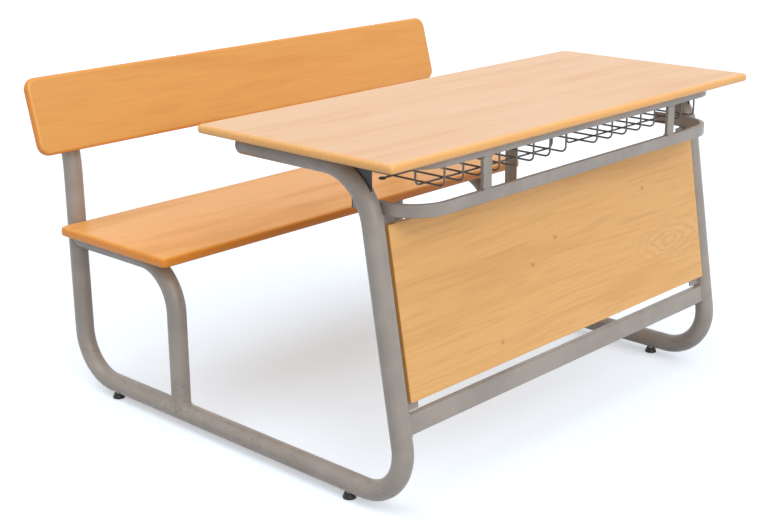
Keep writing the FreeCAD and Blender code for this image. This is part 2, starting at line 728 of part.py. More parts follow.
def rail_plug(side, hand):
    """A plug for the rear end of an arm of the lower front rail."""
    body = new_body(f"{side}_lower_rail_plug")
    centre = ("0", "0")
    flange = add_sketch(body, "Flange", "XZ_Plane")
    draw_box(flange, centre, "rail_depth", "lower_rail_height", "rail_edge_round")
    cap = pad(body, flange, "rail_plug_flange")
    cap.Reversed = True
    inner = add_sketch(body, "Tail", "XZ_Plane")
    draw_box(inner, centre, "(rail_depth - 2 * rail_wall - fit_gap)",
             "(lower_rail_height - 2 * rail_wall - fit_gap)", "(rail_edge_round - rail_wall)")
    pad(body, inner, "rail_plug_tail")
    place(body, x=f"{hand} * {RAIL_ARM}", y="front_edge + lower_arm_back",
          z="lower_rail_top - lower_rail_height / 2")


# ---- Glides ----

def glide_pad(label, hand, back):
    """The foot of a glide: a wide sole under a tapered body, with a blind hole for its stem."""
    body = new_body(label)
    top = "(ground_gap - insert_flange_height - 2 * fit_gap)"
    rim = "glide_diameter / 2"
    half = add_sketch(body, "Half", "XZ_Plane")
    corners = [("0", "0"), (rim, "0"), (rim, "glide_sole"), ("glide_neck / 2", top), ("0", top)]
    draw_chain(half, corners, [None, "glide_edge / 2", "glide_edge / 2", "glide_edge / 2", None],
               closed=True)
    revolve(body, half)
    place(body, x=f"{hand} * frame_half_width", y=f"front_edge + {back}")


def turned_steel(label, profile, x, y):
    """A solid turned about a vertical axis from a half section given as formulas."""
    body = new_body(label)
    half = add_sketch(body, "Half", "XZ_Plane")
    draw_chain(half, profile, [None] * len(profile), closed=True)
    revolve(body, half)
    place(body, x=x, y=y)


def glide_stem(label, hand, back):
    """The threaded stem of a glide, as a plain rod standing on the pad."""
    top = "(ground_gap - insert_flange_height - 2 * fit_gap)"
    radius = "stem_diameter / 2"
    profile = [("0", top), (radius, top), (radius, f"{top} + stem_length"),
               ("0", f"{top} + stem_length")]
    turned_steel(label, profile, f"{hand} * frame_half_width", f"front_edge + {back}")


def glide_insert(label, hand, back):
    """A threaded insert in the floor run, with a flange under the tube."""
    bore = "(stem_diameter / 2 + running_gap)"
    low = "(ground_gap - fit_gap - insert_flange_height)"
    seat_level = "(ground_gap - fit_gap)"
    profile = [(bore, low), ("insert_flange / 2", low), ("insert_flange / 2", seat_level),
               ("insert_diameter / 2", seat_level), ("insert_diameter / 2", f"{low} + insert_length"),
               (bore, f"{low} + insert_length")]
    turned_steel(label, profile, f"{hand} * frame_half_width", f"front_edge + {back}")


# ---- Screws, as groups of like solids ----

def screw(seat_point, direction, grip):
    """A pan-head screw from the face it bears on, through grip and into what holds it."""
    shank = Part.makeCylinder(value("screw_diameter") / 2, value(grip), seat_point, direction)
    head_height = value("screw_head_height")
    head = Part.makeCylinder(value("screw_head") / 2, head_height,
                             seat_point - direction * head_height, direction)
    rim = [edge for edge in head.Edges if edge.Curve.TypeId == "Part::GeomCircle"
           and (edge.Curve.Center - seat_point).dot(direction) < -head_height / 2]
    return head.makeFillet(head_height * 0.6, rim).fuse(shank).removeSplitter()


def group(label, solids):
    """One piece of several separate solids."""
    feature = doc.addObject("Part::Feature", label)
    feature.Label = label
    feature.Shape = Part.makeCompound(solids)
    pieces.append(feature)


def level_screws(label, places, front, underside):
    """Screws driven up through tabs into the underside of a level board."""
    grip = "tab_thickness + screw_bite"
    height = value(f"{underside} - tab_thickness")
    solids = []
    for x, back in places:
        seat_point = FreeCAD.Vector(value(x), value(f"{front} + {back}"), height)
        solids.append(screw(seat_point, Z_AXIS, grip))
    group(label, solids)


def leaning_screws(label, places, point, rear_face, board_up, lean):
    """Screws driven forward through tabs into the rear face of a leaning board."""
    direction = FreeCAD.Vector(0, -math.cos(lean), math.sin(lean))
    solids = []
    for x, up in places:
        y, z = point(f"{rear_face} + tab_thickness", f"{board_up} + {up}")
        solids.append(screw(vector(x, y, z), direction, "tab_thickness + screw_bite"))
    group(label, solids)


def screws():
    """Every screw that holds a board."""
    level_screws("desktop_screws", desk_screw_places(), "front_edge", DESK_BOTTOM)
    level_screws("seat_screws", seat_screw_places(), "front_edge + seat_front_back", SEAT_BOTTOM)
    rest_face = f"-({TUBE_RADIUS} + fit_gap + rest_standoff)"
    leaning_screws("backrest_screws", rest_screw_places(), post_point, rest_face, "rest_up",
                   math.radians(value("post_lean")))
    leaning_screws("panel_screws", panel_screw_places(), leg_point, PANEL_REAR, "panel_up",
                   math.radians(value("leg_lean")))


# ---- Book baskets ----

def wire(points, radius_formula="wire_bend"):
    """A round wire through points, rounded at every inner one."""
    radius = value(radius_formula)
    edges = []
    start = points[0]
    for before, corner, after in zip(points, points[1:], points[2:]):
        arc_start, centre, arc_end = bend(before, corner, after, radius)
        middle = centre + (corner - centre).normalize() * radius
        edges.append(Part.LineSegment(start, arc_start).toShape())
        edges.append(Part.Arc(arc_start, middle, arc_end).toShape())
        start = arc_end
    edges.append(Part.LineSegment(start, points[-1]).toShape())
    heading = points[1] - points[0]
    section = Part.Wire(Part.makeCircle(value("wire_diameter") / 2, points[0], heading))
    return Part.Wire(edges).makePipeShell([section], True, False)


def eye(centre, normal):
    """The closed ring that a wire's end is formed into."""
    return Part.makeTorus(value("eye_radius"), value("wire_diameter") / 2, centre, normal)


def cross_wire(x, hanger):
    """A wire from the upper rail down and back along the basket's floor. A hanger rises
    again at the rear, to an eye under the desktop."""
    front, rear = value(f"front_edge + {BASKET_FRONT}"), value(f"front_edge + {BASKET_REAR}")
    floor = value(BASKET_FLOOR)
    top = value(f"{DESK_BOTTOM} - fit_gap - wire_diameter / 2")
    points = [FreeCAD.Vector(x, front, top), FreeCAD.Vector(x, front, floor),
              FreeCAD.Vector(x, rear, floor)]
    if not hanger:
        return wire(points)
    eye_start = rear + value("hanger_foot")
    points.append(FreeCAD.Vector(x, rear, top))
    points.append(FreeCAD.Vector(x, eye_start, top))
    ring_centre = FreeCAD.Vector(x, eye_start + value("eye_radius"), top)
    return wire(points).fuse(eye(ring_centre, Z_AXIS)).removeSplitter()


def long_wire(hand, number):
    """A wire across under the cross wires, with turned-up ends. The outer end of one of
    them is a flat eye instead."""
    inner, outer = hand * value("basket_inner_offset"), hand * value(BASKET_OUTER)
    y = value(f"front_edge + {BASKET_FRONT} + long_wire_first + {number} * {LONG_WIRE_PITCH}")
    floor = value(LONG_WIRE_HEIGHT)
    points = [FreeCAD.Vector(inner, y, floor + value("basket_inner_end")),
              FreeCAD.Vector(inner, y, floor)]
    if number != EYED_LONG_WIRE:
        points.append(FreeCAD.Vector(outer, y, floor))
        points.append(FreeCAD.Vector(outer, y, floor + value("basket_outer_end")))
        return wire(points)
    points.append(FreeCAD.Vector(outer - hand * value("eye_radius"), y, floor))
    ring_centre = FreeCAD.Vector(outer, y, floor)
    return wire(points).fuse(eye(ring_centre, Z_AXIS)).removeSplitter()


def basket(side, hand):
    """The wires of one basket."""
    offsets = [hand * value(f"basket_first_offset + {number} * {BASKET_PITCH}")
               for number in range(CROSS_WIRES)]
    group(f"{side}_basket_cross_wires", [cross_wire(x, False) for x in offsets[1:-1]])
    group(f"{side}_basket_hangers", [cross_wire(x, True) for x in (offsets[0], offsets[-1])])
    group(f"{side}_basket_long_wires", [long_wire(hand, number) for number in range(LONG_WIRES)])


def basket_screws():
    """Screws up through the hangers' eyes into the desktop."""
    grip = "wire_diameter + 2 * fit_gap + screw_bite"
    eye_bottom = value(f"{DESK_BOTTOM} - 2 * fit_gap - wire_diameter")
    solids = []
    for x, back in hanger_screw_places():
        seat_point = FreeCAD.Vector(value(x), value(f"front_edge + {back}"), eye_bottom)
        solids.append(screw(seat_point, Z_AXIS, grip))
    group("basket_screws", solids)


# ---- The whole desk ----

def side_pieces(side, hand):
    """Every piece that belongs to one side of the desk."""
    side_frame(side, hand)
    seat_support(side, hand)
    rail_link(side, hand)
    rest_bracket(side, hand)
    for end in ("front", "rear"):
        board_tab(f"{side}_{end}_desk_tab", hand, f"desk_tab_{end}_back", DESK_BOTTOM)
        board_tab(f"{side}_{end}_seat_tab", hand, f"seat_tab_{end}_back", SEAT_BOTTOM)
        glide_pad(f"{side}_{end}_glide_pad", hand, f"{end}_glide_back")
        glide_stem(f"{side}_{end}_glide_stem", hand, f"{end}_glide_back")
        glide_insert(f"{side}_{end}_glide_insert", hand, f"{end}_glide_back")
    panel_tab(f"{side}_lower_panel_tab", hand, low=True)
    panel_tab(f"{side}_upper_panel_tab", hand, low=False)
    x = f"{hand} * frame_half_width"
    tube_plug(f"{side}_top_run_plug", x, "front_edge + top_run_back", TOP_AXIS, "90", -X_AXIS)
    y, z = post_point("0", "post_top")
    tube_plug(f"{side}_post_plug", x, y, z, "post_lean", -X_AXIS)
    rail_plug(side, hand)
    basket(side, hand)


def build_desk():
    """Model every piece of the desk."""
    desktop()
    seat()
    backrest()
    front_panel()
    front_rail("lower_front_rail", "lower_rail_height", "lower_rail_top", "lower_arm_back")
    front_rail("upper_front_rail", "upper_rail_height", DESK_BOTTOM, "upper_arm_back")
    foot_rail()
    centre_stay()
    stay_plates()
    bend_gussets()
    for side, hand in SIDES.items():
        side_pieces(side, hand)
    screws()
    basket_screws()
    doc.recompute()


def check_document():
    """Stop if any object failed or any piece has no valid shape."""
    for item in doc.Objects:
        if any(state in ("Invalid", "Error") for state in item.State):
            raise RuntimeError(f"{item.Label}: {item.State}")
    for piece in pieces:
        if piece.Shape.isNull() or not piece.Shape.isValid():
            raise RuntimeError(f"{piece.Label} has no valid shape")


def export_pieces():
    """Write each piece to its own file."""
    os.makedirs("parts", exist_ok=True)
    for piece in pieces:
        piece.Shape.exportStep(f"parts/{piece.Label}.step")


fill_sheet()
build_desk()
check_document()
export_pieces()
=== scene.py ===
import math

import bmesh
import bpy
from bpy.props import FloatProperty, FloatVectorProperty, PointerProperty
from mathutils import Matrix, Vector


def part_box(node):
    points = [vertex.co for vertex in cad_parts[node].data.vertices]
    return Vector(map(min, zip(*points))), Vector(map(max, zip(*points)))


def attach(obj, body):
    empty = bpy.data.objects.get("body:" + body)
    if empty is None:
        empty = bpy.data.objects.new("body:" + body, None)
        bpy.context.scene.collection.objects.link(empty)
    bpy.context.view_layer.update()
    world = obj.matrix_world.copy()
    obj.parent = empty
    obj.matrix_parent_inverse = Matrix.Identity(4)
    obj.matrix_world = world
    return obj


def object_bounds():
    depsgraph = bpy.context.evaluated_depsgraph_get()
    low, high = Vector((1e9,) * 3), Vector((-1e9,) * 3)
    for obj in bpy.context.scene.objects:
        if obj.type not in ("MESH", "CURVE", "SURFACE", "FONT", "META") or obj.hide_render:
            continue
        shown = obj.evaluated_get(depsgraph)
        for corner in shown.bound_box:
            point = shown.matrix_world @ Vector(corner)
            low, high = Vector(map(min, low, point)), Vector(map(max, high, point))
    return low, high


# Finishes for a two-pupil school bench desk: lacquered beech boards, a powder-coated tube frame
# with its weld beads, wire book baskets, moulded plugs and glides, and a plain pale studio.
# Everything is in metres, in the frame of the CAD pieces.

bl_info = {
    "name": "School bench desk finishes",
    "version": (1, 0, 0),
    "blender": (4, 5, 0),
    "location": "3D View > Sidebar > Bench Desk",
    "description": "Finishes the boards, frame, baskets and glides of a school bench desk",
    "category": "Object",
}

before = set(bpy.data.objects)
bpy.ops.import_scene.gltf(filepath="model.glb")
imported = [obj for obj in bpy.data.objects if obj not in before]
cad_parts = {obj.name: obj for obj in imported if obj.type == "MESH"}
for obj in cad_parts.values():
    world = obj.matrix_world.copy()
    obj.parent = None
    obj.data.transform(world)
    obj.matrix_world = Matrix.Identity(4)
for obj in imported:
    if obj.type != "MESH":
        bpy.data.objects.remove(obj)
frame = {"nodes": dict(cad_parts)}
CAD_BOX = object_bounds()
NODES = frame["nodes"]
MM = 0.001
SIDES = {"left": -1, "right": 1}
WHITE = (1.0, 1.0, 1.0, 1.0)

# Directions that the broad faces of the boards look in
UPWARD = Vector((0, 0, 1))
LEG_LEAN = math.radians(9.5)
POST_LEAN = math.radians(15)
LEG_RISE = Vector((0, math.sin(LEG_LEAN), math.cos(LEG_LEAN)))
POST_RISE = Vector((0, math.sin(POST_LEAN), math.cos(POST_LEAN)))
PANEL_FACING = Vector((0, -math.cos(LEG_LEAN), math.sin(LEG_LEAN)))
BACKREST_FACING = Vector((0, -math.cos(POST_LEAN), math.sin(POST_LEAN)))

# The flat-sawn figure of the front panel, as X and Z: the middle of its swirl, and its pin knots
PANEL_SWIRL = (0.395, 0.352)
PANEL_KNOTS = ((-0.031, 0.445), (-0.113, 0.405), (-0.234, 0.277), (0.299, 0.485))
SWIRL_STRETCH = 2.6                 # length of the swirl's ovals over their height
RING_WAVER = 19.0                   # how far the rings stray, in radians of their spacing
KNOT_LENGTH = 7 * MM
KNOT_HEIGHT = 5 * MM

# Real sizes of the broader patterns, along X, Y and Z
DRIFT_CELL = MM * Vector((420, 90, 90))         # bends in the run of a board's grain
DRIFT_SWAY = MM * Vector((0, 30, 30))           # how far the grain bends
BAND_CELL = MM * Vector((450, 50, 50))          # broad paler and darker bands of a board
RUB_CELL = MM * Vector((14, 8, 8))              # rubbed spots on a board's edge
RING_DRIFT_CELL = MM * Vector((120, 40, 40))    # bends in the growth rings
SPRAY_CELL = MM * Vector((90, 90, 90))          # slow clouds in a powder coat
SCUFF_CELL = MM * Vector((16, 16, 6))           # marks that shoes leave
DUST_CELL = MM * Vector((12, 12, 12))           # dust on moulded plastic
PLATE_CELL = MM * Vector((4, 4, 4))             # clouds in zinc plate

# Weld beads, with the lengths and insets of the lines that they follow
BEAD_SIDES = 8
BEAD_STEP = 0.6 * MM
RIPPLE_SHARE = 0.13                 # height of the ripples over the bead's radius
SADDLE_STEPS = 180
FOOT_RAIL_HALF_DEPTH = 10 * MM
FOOT_RAIL_HALF_HEIGHT = 20 * MM
LOWER_ARM_HALF_WELD = 10 * MM
UPPER_ARM_WELD = 14 * MM
BRACKET_HALF_WEB = 8 * MM
BRACKET_BELOW_PLUG = 8 * MM
BRACKET_WELD_TOP = 2 * MM
BRACKET_WELD_FOOT = 108 * MM
STAY_DEPTH = 15 * MM

# Shoes rub the frame below this height
SCUFF_HEIGHT = 0.25

# Each lamp's strength, and where it stands as seen from the desk
LAMPS = (("Overhead softbox", 0.72, (-0.4, 0.12, 0.91)),
         ("Front softbox", 1.45, (-0.2, -0.85, 0.5)))
LAMP_SPREAD = math.radians(50)
SKY_AT_HORIZON = 0.18
SKY_OVERHEAD = 0.75

# The floor glows a little to the camera, so that only the deep part of a shadow shows
FLOOR_GLOW = 0.39
FLOOR_HALF = 30.0                   # half the length of its sides
FLOOR_GAP = 0.2 * MM                # below the soles of the glides

# The camera, ahead of the desk's left end. Its focal length is in pixels of the picture's width.
CAMERA_PLACE = (-2.31545, -2.15163, 1.27985)
CAMERA_HEADING = 0.8146681
CAMERA_TILT = -0.3081343
CAMERA_ROLL = -0.0078951
FOCAL_LENGTH_PIXELS = 1411.87
IMAGE_WIDTH = 768
SENSOR_WIDTH_MM = 36.0


# ---- Settings that a user would change ----

def linear(hex_colour):
    """The linear colour of an sRGB hex value, with full alpha."""
    channels = [int(hex_colour[i:i + 2], 16) / 255 for i in (1, 3, 5)]
    return tuple(c / 12.92 if c <= 0.04045 else ((c + 0.055) / 1.055) ** 2.4
                 for c in channels) + (1.0,)


def colour_setting(name, description, hex_colour):
    """A colour that a user would change."""
    return FloatVectorProperty(name=name, description=description, subtype="COLOR", size=4,
                               min=0.0, max=1.0, default=linear(hex_colour))


def size_setting(name, description, millimetres):
    """A length that a user would change."""
    return FloatProperty(name=name, description=description, subtype="DISTANCE", unit="LENGTH",
                         min=0.01 * MM, default=millimetres * MM)


class BenchDeskColours(bpy.types.PropertyGroup):
    """Colours of the desk's finishes"""
    desktop: colour_setting("Desktop", "Face of the desktop", "#F1C397")
    desktop_vein: colour_setting("Desktop grain", "Darker grain of the desktop", "#E0A878")
    desktop_edge: colour_setting("Desktop edge", "Rounded edge of the desktop", "#FFBE6C")
    # The seat and backrest are one beech plywood; the backrest's darker face colour is painted
    # shade
    seat: colour_setting("Seat", "Face of the seat", "#FDB45C")
    backrest: colour_setting("Backrest", "Face of the backrest", "#EDAA59")
    bench_vein: colour_setting("Bench grain", "Darker grain of the seat and backrest", "#D68A3E")
    bench_edge: colour_setting("Bench edge", "Rounded edge of the seat and backrest", "#F29426")
    panel: colour_setting("Panel", "Face of the front panel", "#F3BA71")
    panel_vein: colour_setting("Panel grain", "Darker figure of the front panel", "#D49A58")
    panel_edge: colour_setting("Panel edge", "Edge of the front panel", "#DDA45E")
    rubbed: colour_setting("Rubbed wood", "Paler wood where an edge is rubbed", "#F3CE9C")
    knot: colour_setting("Pin knots", "Small knots in the front panel", "#94642F")
    frame: colour_setting("Frame", "Powder coat of the tubes", "#ABA299")
    scuff: colour_setting("Frame scuffs", "Powder coat rubbed by shoes", "#7A736B")
    # The gussets' near-black brown is painted shade for the deep shadow under the desktop beside
    # the bends
    gusset_shade: colour_setting("Gussets", "Powder coat of the gussets", "#2E231C")
    wire: colour_setting("Wire", "Powder coat of the basket wires", "#746C65")
    plug: colour_setting("Plugs", "Moulded plugs in the tubes' ends", "#4B4742")
    glide: colour_setting("Glides", "Moulded glide pads", "#1B1A1A")
    zinc: colour_setting("Zinc", "Plate of the screws and stems", "#B9B8B2")
    floor: colour_setting("Floor", "Studio floor, as it lights the desk", "#A6A6A8")
    floor_seen: colour_setting("Floor as seen", "Studio floor, as the camera sees it", "#E2F0FF")


class BenchDeskSizes(bpy.types.PropertyGroup):
    """Real sizes of the desk's patterns and small details"""
    streak_width: size_setting("Streak width", "Width of a streak in beech", 6.5)
    streak_length: size_setting("Streak length", "Length of a streak in beech", 190.0)
    fleck_width: size_setting("Fleck width", "Width of a ray fleck, drawn coarse to show", 1.8)
    fleck_length: size_setting("Fleck length", "Length of a ray fleck, drawn coarse to show", 15.0)
    swirl_reach: size_setting("Swirl reach", "Half the height of the swirl in the panel", 75.0)
    ring_spacing: size_setting("Ring spacing", "Growth rings of the panel, as they are cut", 13.0)
    # A band of painted shade on the desktop's face beside its edge, for the light falling off
    # toward the rounding
    shaded_edge_band: size_setting("Shaded edge band", "Warmer band of the desktop beside its edge", 24.0)
    peel: size_setting("Orange peel", "Texture of the powder coat, drawn coarse to show", 2.4)
    spark_grit: size_setting("Mould grit", "Texture of moulded plastic, drawn coarse to show", 1.2)
    weld_radius: size_setting("Weld radius", "Half the width of a weld bead", 2.2)
    weld_ripple: size_setting("Weld ripple", "Spacing of the ripples along a weld bead", 2.6)


# ---- Node materials ----

def add_node(tree, kind, output, inputs=None, **settings):
    """Add a node with its settings, fill its inputs with values or links, and give its output."""
    node = tree.nodes.new(kind)
    for name, setting in settings.items():
        setattr(node, name, setting)
    for socket, given in (inputs or {}).items():
        if isinstance(given, bpy.types.NodeSocket):
            tree.links.new(given, node.inputs[socket])
        else:
            node.inputs[socket].default_value = given
    return node.outputs[output] if output else node


def new_material(name, **surface_inputs):
    """A material of one Principled surface. Returns it, its tree and the surface."""
    material = bpy.data.materials.new(name)
    material.use_nodes = True
    tree = material.node_tree
    tree.nodes.clear()
    inputs = {socket.replace("_", " "): given for socket, given in surface_inputs.items()}
    surface = add_node(tree, "ShaderNodeBsdfPrincipled", None, inputs)
    add_node(tree, "ShaderNodeOutputMaterial", None, {"Surface": surface.outputs["BSDF"]})
    return material, tree, surface


def patches(tree, place, cell, detail, output="Fac"):
    """Soft random patches with the real size of a cell along X, Y and Z."""
    scaled = add_node(tree, "ShaderNodeMapping", "Vector",
                      {"Vector": place, "Scale": [1 / length for length in cell]})
    return add_node(tree, "ShaderNodeTexNoise", output,
                    {"Vector": scaled, "Scale": 1.0, "Detail": detail, "Roughness": 0.58})


def layered(tree, base, layers):
    """A colour with others laid over it. Each layer is a pattern, the range of it that shows,
    how strongly it shows there, and its colour."""
    tone = base
    for pattern, low, high, strength, colour in layers:
        share = add_node(tree, "ShaderNodeMapRange", "Result",
                         {"Value": pattern, "From Min": low, "From Max": high,
                          "To Max": strength}, interpolation_type="SMOOTHSTEP")
        tone = add_node(tree, "ShaderNodeMix", "Result",
                        {"Factor": share, "A": tone, "B": colour}, data_type="RGBA")
    return tone


def set_relief(tree, surface, pattern, depth_mm):
    """Raise a surface by a pattern."""
    normal = add_node(tree, "ShaderNodeBump", "Normal",
                      {"Height": pattern, "Distance": depth_mm * MM, "Strength": 1.0})
    tree.links.new(normal, surface.inputs["Normal"])


def set_roughness(tree, surface, pattern, low, high):
    """Vary a surface's roughness by a pattern."""
    rough = add_node(tree, "ShaderNodeMapRange", "Result",
                     {"Value": pattern, "From Min": 0.3, "From Max": 0.7, "To Min": low,
                      "To Max": high})
    tree.links.new(rough, surface.inputs["Roughness"])


def flatness(tree, facing):
    """1 on the broad faces of a board, falling to 0 round on its edges."""
    normal = add_node(tree, "ShaderNodeNewGeometry", "Normal")
    along = add_node(tree, "ShaderNodeVectorMath", "Value", {0: normal, 1: facing},
                     operation="DOT_PRODUCT")
    return add_node(tree, "ShaderNodeMath", "Value", {0: along, 1: along}, operation="MULTIPLY")


def growth_rings(tree, place, middle):
    """Growth rings of flat-sawn veneer: nested ovals round one place on the panel, which fade
    away from it."""
    size = bpy.context.scene.bench_desk_sizes
    squeeze = (1 / SWIRL_STRETCH, 1.0, 1.0)
    panel_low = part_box("front_panel")[0]
    lean_y = panel_low.y + (middle[1] - panel_low.z) * math.tan(LEG_LEAN)
    centred = add_node(tree, "ShaderNodeMapping", "Vector",
                       {"Vector": place, "Scale": squeeze,
                        "Location": (-middle[0] * squeeze[0], -lean_y, -middle[1])})
    reach = add_node(tree, "ShaderNodeVectorMath", "Value", {0: centred}, operation="LENGTH")
    waver = patches(tree, place, RING_DRIFT_CELL, 3)
    rings = add_node(tree, "ShaderNodeMath", "Value",
                     {0: reach, 1: 2 * math.pi / size.ring_spacing}, operation="MULTIPLY")
    wavering = add_node(tree, "ShaderNodeMath", "Value", {0: waver, 1: RING_WAVER, 2: rings},
                        operation="MULTIPLY_ADD")
    ripple = add_node(tree, "ShaderNodeMath", "Value", {0: wavering}, operation="SINE")
    fade = add_node(tree, "ShaderNodeMapRange", "Result",
                    {"Value": reach, "From Min": 0.3 * size.swirl_reach,
                     "From Max": size.swirl_reach, "To Min": 1.0, "To Max": 0.0})
    return add_node(tree, "ShaderNodeMath", "Value", {0: ripple, 1: fade}, operation="MULTIPLY")


def pin_knot(tree, place, knot):
    """Distance from the middle of a pin knot, counted in knots."""
    x, z = knot
    scale = (1 / KNOT_LENGTH, 0.0, 1 / KNOT_HEIGHT)
    centred = add_node(tree, "ShaderNodeMapping", "Vector",
                       {"Vector": place, "Scale": scale,
                        "Location": (-x * scale[0], 0.0, -z * scale[2])})
    return add_node(tree, "ShaderNodeVectorMath", "Value", {0: centred}, operation="LENGTH")


def beside_outline(tree, place, board, band):
    """How far inside a band along the outline of a level board, in metres: the band's width at
    the outline, and 0 or less inside it."""
    low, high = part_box(board)
    middle, half = (low + high) / 2, (high - low) / 2
    centred = add_node(tree, "ShaderNodeVectorMath", "Vector", {0: place, 1: middle},
                       operation="SUBTRACT")
    outward = add_node(tree, "ShaderNodeVectorMath", "Vector", {0: centred}, operation="ABSOLUTE")
    x, y = (add_node(tree, "ShaderNodeSeparateXYZ", axis, {"Vector": outward}) for axis in "XY")
    past_x = add_node(tree, "ShaderNodeMath", "Value", {0: x, 1: half.x - band},
                      operation="SUBTRACT")
    past_y = add_node(tree, "ShaderNodeMath", "Value", {0: y, 1: half.y - band},
                      operation="SUBTRACT")
    return add_node(tree, "ShaderNodeMath", "Value", {0: past_x, 1: past_y}, operation="MAXIMUM")


def beech(name, face, vein, edge, facing, grain=0.3, shaded_band_board=None, swirl=None, knots=()):
    """Lacquered beech. To the eye it is a quiet, even wood with low-contrast streaks along the
    board, short ray flecks and a satin lacquer. Its rounded edges are darker, and paler again in
    spots where they are rubbed. Beside the outline of the board given for the band, painted
    shade fades the face up to halfway into the edge's colour, where the light falls off toward
    the rounded edge."""
    tint = bpy.context.scene.bench_desk_colours
    size = bpy.context.scene.bench_desk_sizes
    material, tree, surface = new_material(name, Coat_Weight=0.1, Coat_Roughness=0.2)
    place = add_node(tree, "ShaderNodeTexCoord", "Object")
    drift = patches(tree, place, DRIFT_CELL, 2, "Color")
    bent = add_node(tree, "ShaderNodeVectorMath", "Vector",
                    {0: drift, 1: DRIFT_SWAY, 2: place}, operation="MULTIPLY_ADD")
    streaks = patches(tree, bent, (size.streak_length, size.streak_width, size.streak_width), 4)
    bands = patches(tree, bent, BAND_CELL, 2)
    flecks = patches(tree, bent, (size.fleck_length, size.fleck_width, size.fleck_width), 1)
    rub = patches(tree, place, RUB_CELL, 3)
    flat = flatness(tree, facing)
    layers = [(streaks, 0.44, 0.70, grain, vein), (bands, 0.46, 0.70, 0.30, vein),
              (flecks, 0.60, 0.74, 0.26, edge)]
    if swirl:
        layers.append((growth_rings(tree, place, swirl), 0.0, 1.0, 0.42, vein))
    layers += [(pin_knot(tree, place, knot), 1.3, 0.3, 0.42, tint.knot) for knot in knots]
    # A band of painted shade beside the board's outline
    if shaded_band_board:
        layers.append((beside_outline(tree, place, shaded_band_board, size.shaded_edge_band), 0.0, size.shaded_edge_band,
                       0.5, edge))
    face_tone = layered(tree, face, layers)
    edge_tone = layered(tree, edge, [(streaks, 0.40, 0.70, 0.35, vein),
                                     (rub, 0.62, 0.74, 0.55, tint.rubbed)])
    tone = layered(tree, face_tone, [(flat, 0.97, 0.15, 1.0, edge_tone)])
    tree.links.new(tone, surface.inputs["Base Color"])
    set_roughness(tree, surface, bands, low=0.36, high=0.5)
    set_relief(tree, surface, streaks, depth_mm=0.1)
    return material


def powder_coat(name, base, scuff=None, scuff_height=None):
    """Polyester powder coat on steel, sprayed and baked. To the eye it is an even satin colour
    with a faint orange peel. Where a height is given, shoes have rubbed it duller below it."""
    size = bpy.context.scene.bench_desk_sizes
    material, tree, surface = new_material(name)
    place = add_node(tree, "ShaderNodeTexCoord", "Object")
    peel = patches(tree, place, (size.peel,) * 3, 1)
    cloud = patches(tree, place, SPRAY_CELL, 2)
    deeper = [channel * 0.86 for channel in base[:3]] + [1.0]
    tone = layered(tree, base, [(cloud, 0.35, 0.65, 1.0, deeper)])
    if scuff_height:
        height = add_node(tree, "ShaderNodeSeparateXYZ", "Z", {"Vector": place})
        reach = add_node(tree, "ShaderNodeMapRange", "Result",
                         {"Value": height, "From Min": scuff_height,
                          "From Max": scuff_height * 0.4}, interpolation_type="SMOOTHSTEP")
        marks = patches(tree, place, SCUFF_CELL, 4)
        rubbed = add_node(tree, "ShaderNodeMath", "Value", {0: reach, 1: marks},
                          operation="MULTIPLY")
        tone = layered(tree, tone, [(rubbed, 0.56, 0.70, 0.5, scuff)])
    tree.links.new(tone, surface.inputs["Base Color"])
    set_roughness(tree, surface, cloud, low=0.26, high=0.38)
    set_relief(tree, surface, peel, depth_mm=0.05)
    return material


def moulded_plastic(name, base, roughness):
    """Injection-moulded polypropylene. To the eye it is dull, slightly grained from a
    spark-eroded mould, and paler where dust lies."""
    size = bpy.context.scene.bench_desk_sizes
    material, tree, surface = new_material(name, Roughness=roughness, IOR=1.49)
    place = add_node(tree, "ShaderNodeTexCoord", "Object")
    grit = patches(tree, place, (size.spark_grit,) * 3, 2)
    dust = patches(tree, place, DUST_CELL, 3)
    paler = [channel * 1.5 + 0.01 for channel in base[:3]] + [1.0]
    tone = layered(tree, base, [(dust, 0.45, 0.75, 0.6, paler)])
    tree.links.new(tone, surface.inputs["Base Color"])
    set_relief(tree, surface, grit, depth_mm=0.04)
    return material


def zinc_plate(name, base):
    """Bright zinc plate on turned steel. To the eye it is a pale metal, slightly cloudy."""
    material, tree, surface = new_material(name, Metallic=1.0)
    place = add_node(tree, "ShaderNodeTexCoord", "Object")
    cloud = patches(tree, place, PLATE_CELL, 3)
    duller = [channel * 0.7 for channel in base[:3]] + [1.0]
    tone = layered(tree, base, [(cloud, 0.4, 0.7, 1.0, duller)])
    tree.links.new(tone, surface.inputs["Base Color"])
    set_roughness(tree, surface, cloud, low=0.28, high=0.44)
    set_relief(tree, surface, cloud, depth_mm=0.02)
    return material


def finish_nodes(names, material):
    """Give CAD pieces a material in place of their plain one."""
    for name in names:
        mesh = NODES[name].data
        mesh.materials.clear()
        mesh.materials.append(material)


def nodes_with(*words):
    """The CAD pieces whose names hold any of these words."""
    return [name for name in NODES if any(word in name for word in words)]


# ---- Weld beads ----

